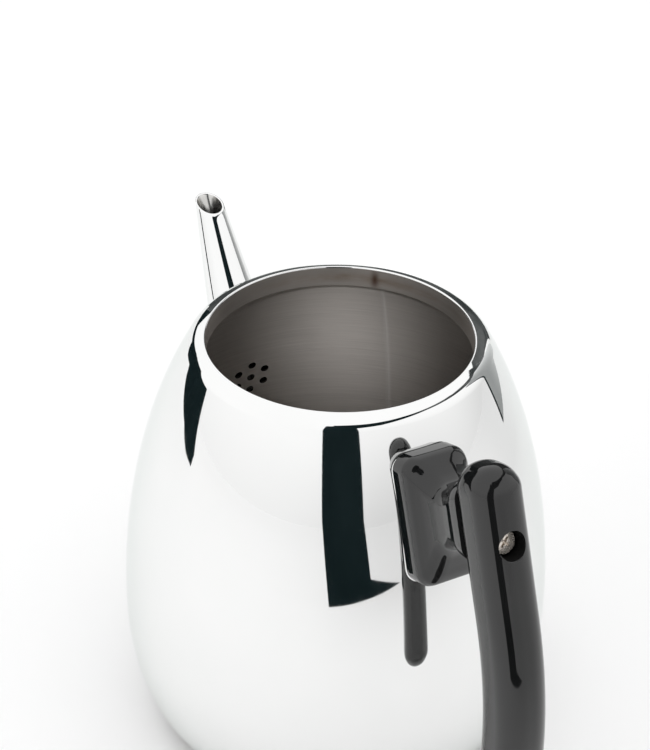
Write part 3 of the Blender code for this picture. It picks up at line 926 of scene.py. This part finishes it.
def satin_steel():
    """Unpolished inside of the drawn wall: fine lines round it, draw rings, a weld seam and heat tints."""
    n = look("satin_steel")
    x, y, z = n.axes()
    angle = n.math("ARCTAN2", y, x)
    lines = n.noise(9, stretch=(4, 4, 260), detail=6, roughness=0.65)
    cloud = n.noise(28, detail=4)
    steel = n.mix(n.spread(lines, 0.0, 1.0), (0.52, 0.49, 0.465), (0.64, 0.605, 0.575))
    steel = n.mix(n.spread(cloud, 0.0, 0.35), steel, (0.50, 0.47, 0.44))
    ring = n.hump(z, TINT_Z, 1.6 * MM)
    near_seam = n.hump(angle, SEAM_ANGLE, 0.55)
    patchy = n.spread(n.noise(150, stretch=(1, 1, 3)), 0.25, 1.0)
    tint = n.math("MULTIPLY", n.math("MULTIPLY", ring, patchy), n.math("MULTIPLY_ADD", near_seam, 0.7, 0.2))
    steel = n.mix(tint, steel, (0.26, 0.165, 0.11))
    seam = n.hump(angle, SEAM_ANGLE, 0.012)
    scorch = n.math("MULTIPLY", n.hump(z, TINT_Z, 3.2 * MM), n.hump(angle, SEAM_ANGLE, 0.03))
    steel = n.mix(n.math("MULTIPLY", seam, 0.3), steel, (0.82, 0.80, 0.78))
    skirt = n.spread(z, 0.0, 0.65, SKIRT_END_Z - 0.3 * MM, SKIRT_END_Z + 0.3 * MM)
    steel = n.mix(skirt, steel, (0.20, 0.18, 0.16))
    steel = n.mix(scorch, steel, (0.09, 0.055, 0.04))
    n.set(Metallic=0.86, Base_Color=steel, Anisotropic=0.8, Anisotropic_Rotation=0.25)
    n.set(Roughness=n.spread(cloud, 0.34, 0.42), Specular_IOR_Level=0.2)
    n.turned_finish()
    n.bump(lines, 0.02 * MM, 0.5)
    return n.owner


def bore_steel():
    """Inside of the spout: drawn tube, bright at the mouth and painted nearly black further down, as painted
    shade deep in the tube.
    """
    n = look("bore_steel")
    streak = n.noise(500, stretch=(1, 1, 0.15), detail=4)
    bright = n.mix(streak, (0.62, 0.61, 0.59), (0.78, 0.77, 0.75))
    z = n.axes()[2]
    # Below 132 mm the steel fades to nearly black by 108 mm: painted shade inside the tube.
    out_of_painted_shade = n.spread(z, 0.0, 1.0, 108 * MM, 132 * MM)
    n.set(Metallic=1.0, Base_Color=n.mix(out_of_painted_shade, (0.03, 0.028, 0.026), bright))
    n.set(Roughness=n.spread(streak, 0.14, 0.28))
    n.bump(streak, 0.01 * MM, 0.5)
    return n.owner


def hole_shade_steel():
    """Walls of the strainer holes, painted dark as painted shade in the holes."""
    n = look("hole_shade_steel")
    cloud = n.noise(400, detail=4)
    # Near-black base colour: painted shade inside the holes.
    n.set(Metallic=1.0, Base_Color=n.mix(cloud, (0.05, 0.045, 0.04), (0.10, 0.09, 0.08)))
    n.set(Roughness=n.spread(cloud, 0.5, 0.7))
    return n.owner


def base_steel():
    """Spun finish of the base: fine rings about the axis."""
    n = look("base_steel")
    x, y, z = n.axes()
    radius = n.math("SQRT", n.math("ADD", n.math("MULTIPLY", x, x), n.math("MULTIPLY", y, y)))
    combined = n.add("ShaderNodeCombineXYZ")
    n.join(radius, combined.inputs["X"])
    n.join(n.math("MULTIPLY", z, 3.0), combined.inputs["Y"])
    rings = n.add("ShaderNodeTexNoise")
    rings.inputs["Scale"].default_value = 1600
    rings.inputs["Detail"].default_value = 3
    n.join(combined.outputs["Vector"], rings.inputs["Vector"])
    cloud = n.noise(35, detail=4)
    steel = n.mix(n.spread(rings.outputs["Fac"], 0, 1), (0.52, 0.51, 0.49), (0.66, 0.65, 0.63))
    steel = n.mix(n.spread(cloud, 0.0, 0.3), steel, (0.45, 0.44, 0.42))
    n.set(Metallic=1.0, Base_Color=steel, Roughness=n.spread(cloud, 0.26, 0.36), Anisotropic=0.5)
    n.turned_finish()
    n.bump(rings.outputs["Fac"], 0.01 * MM, 0.6)
    return n.owner


def aluminium_core():
    n = look("aluminium_core")
    grain = n.noise(220, detail=5)
    n.set(Metallic=1.0, Base_Color=n.mix(grain, (0.62, 0.625, 0.63), (0.74, 0.745, 0.75)))
    n.set(Roughness=n.spread(grain, 0.35, 0.5))
    n.bump(grain, 0.02 * MM, 0.5)
    return n.owner


def black_plastic():
    """Moulded phenolic plastic, polished, with a trace of orange peel and dust-fine scratches."""
    n = look("black_plastic")
    cloud = n.noise(70, detail=3)
    n.set(Base_Color=n.mix(cloud, (0.005, 0.005, 0.0052), (0.009, 0.009, 0.009)))
    n.set(IOR=1.62, Roughness=n.spread(n.noise(420, detail=4), 0.035, 0.085))
    n.bump(n.noise(130, detail=1), 0.02 * MM, 0.35)
    return n.owner


def matt_plastic():
    """Wall of the screw recess, as it came out of the mould."""
    n = look("matt_plastic")
    cloud = n.noise(300, detail=3)
    n.set(Base_Color=n.mix(cloud, (0.004, 0.004, 0.004), (0.008, 0.008, 0.008)), Roughness=0.75)
    n.set(Specular_IOR_Level=0.15)
    return n.owner


def plated_screw():
    n = look("plated_screw")
    cloud = n.noise(700, detail=4)
    n.set(Metallic=0.8, Base_Color=n.mix(cloud, (0.80, 0.72, 0.64), (0.90, 0.84, 0.77)))
    n.set(Roughness=n.spread(cloud, 0.14, 0.32))
    n.bump(cloud, 0.01 * MM, 0.4)
    return n.owner


def pale_floor_with_painted_shade():
    """White table with painted shade, which deepens on the side where the tent is duller."""
    n = look("pale_floor_with_painted_shade")
    place = n.place()
    cloud = n.noise(3, detail=3)
    white = n.mix(cloud, (0.94, 0.94, 0.94), (0.955, 0.955, 0.955))
    length = n.add("ShaderNodeVectorMath", operation="LENGTH")
    n.join(place, length.inputs[0])
    heading = n.add("ShaderNodeVectorMath", operation="NORMALIZE")
    n.join(place, heading.inputs[0])
    further = n.spread(length.outputs["Value"], 0.0, 1.0, *FLOOR_SHADE_REACH)
    # Painted shade: the floor's colour is darkened towards black in the tent's duller directions, more so
    # with distance.
    painted_floor_shade = n.math("MULTIPLY", n.dullness(heading.outputs["Vector"]), further)
    n.set(Base_Color=n.mix(painted_floor_shade, white, (0.0, 0.0, 0.0)), Roughness=0.7, Specular_IOR_Level=0.1)
    return n.owner


def dark_cloth():
    n = look("dark_cloth")
    cloud = n.noise(8, detail=3)
    n.set(Base_Color=n.mix(cloud, (0.004, 0.009, 0.010), (0.012, 0.020, 0.022)), Roughness=0.9)
    n.set(Specular_IOR_Level=0.0)
    return n.owner


def dim_cloth():
    n = look("dim_cloth")
    cloud = n.noise(6, detail=4)
    n.set(Base_Color=n.mix(n.spread(cloud, 0.0, 1.0), (0.03, 0.035, 0.036), (0.13, 0.135, 0.135)))
    n.set(Roughness=0.9, Specular_IOR_Level=0.0)
    return n.owner


def grey_card():
    """Side of the right-hand tent wall: dull at its front edge, nearly white further back."""
    n = look("grey_card")
    front = n.along(n.place(), toward(GREY_START, 0))
    share = n.spread(front, 1.0, 0.0, 0.90 * CARD_R, 0.995 * CARD_R)
    n.set(Base_Color=n.mix(share, (0.34, 0.35, 0.35), (0.78, 0.79, 0.79)), Roughness=0.9)
    n.set(Specular_IOR_Level=0.0)
    return n.owner


# ---- studio

def view_axes():
    """Level directions: to the camera's right, and away from it."""
    right = Vector((-math.sin(VIEW_TURN), -math.cos(VIEW_TURN), 0))
    away = Vector((math.cos(VIEW_TURN), -math.sin(VIEW_TURN), 0))
    return right, away


def toward(turn, rise):
    """Direction in the studio: degrees round from the camera's side towards its right, and degrees up."""
    right, away = view_axes()
    level = math.sin(math.radians(turn)) * right - math.cos(math.radians(turn)) * away
    return math.cos(math.radians(rise)) * level + math.sin(math.radians(rise)) * Vector((0, 0, 1))


def make_camera():
    right, away = view_axes()
    up = Vector((0, 0, 1))
    forward = math.cos(VIEW_PITCH) * away - math.sin(VIEW_PITCH) * up
    level_up = math.sin(VIEW_PITCH) * away + math.cos(VIEW_PITCH) * up
    cam_x = math.cos(VIEW_ROLL) * right + math.sin(VIEW_ROLL) * level_up
    cam_y = -math.sin(VIEW_ROLL) * right + math.cos(VIEW_ROLL) * level_up
    data = bpy.data.cameras.new("camera")
    data.lens = LENS_MM
    data.sensor_width = 36
    data.clip_start = 0.01
    data.clip_end = 50
    data.dof.use_dof = False
    obj = new_object("camera", data)
    turn = Matrix((cam_x, cam_y, -forward)).transposed().to_4x4()
    obj.matrix_world = Matrix.Translation(CAMERA_PLACE) @ turn
    bpy.context.scene.camera = obj


def make_floor_plane(material):
    corners = [(x * FLOOR_REACH, y * FLOOR_REACH, 0) for x, y in ((-1, -1), (1, -1), (1, 1), (-1, 1))]
    mesh = bpy.data.meshes.new("studio_floor")
    mesh.from_pydata(corners, [], [(0, 1, 2, 3)])
    mesh.materials.append(material)
    obj = new_object("studio_floor", mesh)
    obj.location.z = -FLOOR_DROP


def card(name, points, faces, material):
    """A studio card that shows in reflections, and neither shades the floor nor stands in a view."""
    mesh = bpy.data.meshes.new(name)
    mesh.from_pydata(points, [], faces)
    mesh.materials.append(material)
    obj = new_object(name, mesh)
    obj.visible_camera = False
    obj.visible_diffuse = False
    obj.visible_shadow = False


def front_card(material):
    """Dark gap between the two diffusers on the camera's side. Points are (right, up) in mm."""
    right, away = view_axes()
    centre = -FRONT_D * away
    outline = ((-66, 640), (-65, 300), (-46, 128), (-32, 65), (-19, 7), (78, 12), (136, 14), (194, 16),
               (96, 40), (79, 127), (78, 283), (84, 640))
    points = [centre + right * a * MM + Vector((0, 0, z * MM)) for a, z in outline]
    card("front_gap", points, [tuple(range(len(points)))], material)


def upright_card(name, start, end, material):
    """A card bent round the kettle's axis, from one direction to another."""
    count = max(2, int(abs(end - start) / 4))
    feet = [CARD_R * toward(start + (end - start) * i / count, 0) for i in range(count + 1)]
    points = [foot + Vector((0, 0, height)) for height in (CARD_LOW, CARD_HIGH) for foot in feet]
    faces = [(i, i + 1, count + 2 + i, count + 1 + i) for i in range(count)]
    card(name, points, faces, material)


def gap_card(name, rows, material):
    """Gap between diffusers, as seen from the mouth. Rows are (turn, low edge, high edge)."""
    centre = Vector((0, 0, RIM_Z))
    low = [centre + GAP_R * toward(turn, rise) for turn, rise, _ in rows]
    high = [centre + GAP_R * toward(turn, rise) for turn, _, rise in rows]
    count = len(rows)
    faces = [(i, i + 1, count + i + 1, count + i) for i in range(count - 1)]
    card(name, low + high, faces, material)


def make_world():
    """White tent that meets the floor without an edge, a little duller in some directions."""
    n = Nodes(bpy.data.worlds.new("studio"), "Background")
    bpy.context.scene.world = n.owner
    coords = n.add("ShaderNodeTexCoord")
    heading = coords.outputs["Generated"]
    height = n.along(heading, Vector((0, 0, 1)))
    tone = n.spread(height, HORIZON_TONE, TENT_TONE, 0.0, TENT_SINE)
    low = n.spread(height, 1.0, DULL_HIGH, 0.0, DULL_SINE)
    tone = n.math("SUBTRACT", tone, n.math("MULTIPLY", n.dullness(heading), low))
    n.join(tone, n.shader.inputs["Strength"])
    n.shader.inputs["Color"].default_value = (1, 1, 1, 1)


def make_light():
    """One broad softbox overhead, mainly for the floor: it isn't reflected."""
    data = bpy.data.lights.new("overhead", "AREA")
    data.shape = "SQUARE"
    data.size = 1.2
    data.energy = 2
    obj = new_object("overhead", data)
    obj.location = (0, 0, 1.6)
    obj.visible_glossy = False


def snoot(name, place, energy, spread):
    """Lamp with a narrow cone, which shines down its own axis and isn't reflected."""
    data = bpy.data.lights.new(name, "SPOT")
    data.energy = energy
    data.spot_size = math.radians(spread)
    data.spot_blend = 1.0
    data.shadow_soft_size = 0.02
    obj = new_object(name, data)
    obj.matrix_world = place
    obj.visible_glossy = False


def make_snoots(handle):
    """One lamp shines through the mouth on the far wall, the other into the recess on the screw."""
    side = -3
    far_wall = Vector((0, 0, RIM_Z - 36 * MM)) - 62 * MM * toward(side, 0)
    heading = toward(side, 34)
    turn = heading.to_track_quat("Z", "Y").to_matrix().to_4x4()
    distance, energy, spread = MOUTH_LAMP
    snoot("mouth_lamp", Matrix.Translation(far_wall + distance * heading) @ turn, energy, spread)
    distance, energy, spread = SCREW_LAMP
    snoot("screw_lamp", handle @ Matrix.Translation((0, 0, distance)), energy, spread)


# ---- assembly

mirror = polished_steel()
satin = satin_steel()
bore = bore_steel()
spun = base_steel()
plastic = black_plastic()
zinc = plated_screw()
handle = handle_frame()

make_camera()
make_world()
make_light()
make_snoots(handle)
make_floor_plane(pale_floor_with_painted_shade())
dark = dark_cloth()
front_card(dark)
gap_card("left_gap", LEFT_GAP, dark)
gap_card("back_gap", BACK_GAP, dim_cloth())
upright_card("right_line", GREY_START - 1.5, GREY_START, dark)
upright_card("right_side", GREY_START, GREY_END, grey_card())
gap_card("overhead_gap", OVERHEAD_GAP, dark)
gap_card("right_gap", RIGHT_GAP, dim_cloth())

make_body(mirror, satin, hole_shade_steel())
make_mouth_ring(mirror, satin)
make_floor(spun)
make_base_cap(spun)
make_spout(mirror, bore)
make_bracket_plate(handle, mirror)
make_block(handle, plastic)
make_grip(handle, plastic, matt_plastic())
make_screw(handle, zinc)
make_washer(handle, zinc)

# The bracket boss takes the bore's material, and with it the painted shade that darkens it towards black
# below 132 mm.
for node, material in (("heat_spreader", aluminium_core()), ("bracket_boss", bore)):
    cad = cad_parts[node]
    cad.data.materials.clear()
    cad.data.materials.append(material)

bpy.context.scene.view_settings.view_transform = "Standard"
